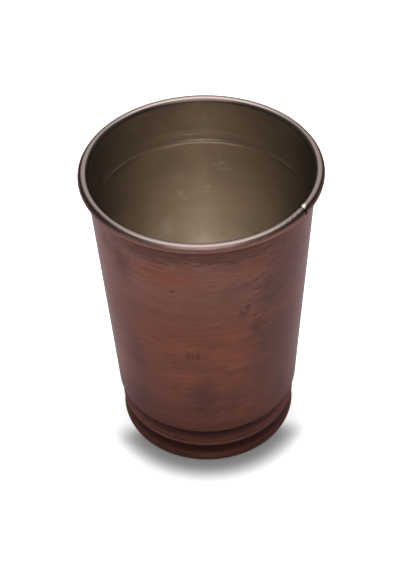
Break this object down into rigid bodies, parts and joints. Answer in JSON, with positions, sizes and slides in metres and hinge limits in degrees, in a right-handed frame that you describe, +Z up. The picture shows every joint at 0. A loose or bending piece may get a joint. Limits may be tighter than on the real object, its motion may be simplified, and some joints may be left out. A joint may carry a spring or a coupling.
{
  "type": "copper tumbler",
  "caption": "Tapered copper drinking tumbler with a rolled, wired rim, swaged beads round the foot, a set-in bottom and a tin-lined inside.",
  "frame": {"origin": "on the tumbler's axis, on the surface that it stands on", "axes": "+Z up along the axis, -Y towards the picture's viewer, +X to the viewer's right"},
  "size_m": [0.08, 0.08, 0.1125],
  "materials": {
    "patinated_copper": "brown patina over fine brushed lines, satin",
    "seam_braze": "planished flush and patinated",
    "copper_wire": "drawn, dull",
    "base_copper": "patinated, turned rings",
    "solder": "dull solder",
    "aged_tin": "aged wiped tin, satin"
  },
  "bodies": {
    "root": {"copper_wall": "patinated_copper", "side_seam": "seam_braze", "rim_wire": "copper_wire", "base_disc": "base_copper", "base_solder": "solder", "tin_lining": "aged_tin"}
  },
  "joints": []
}
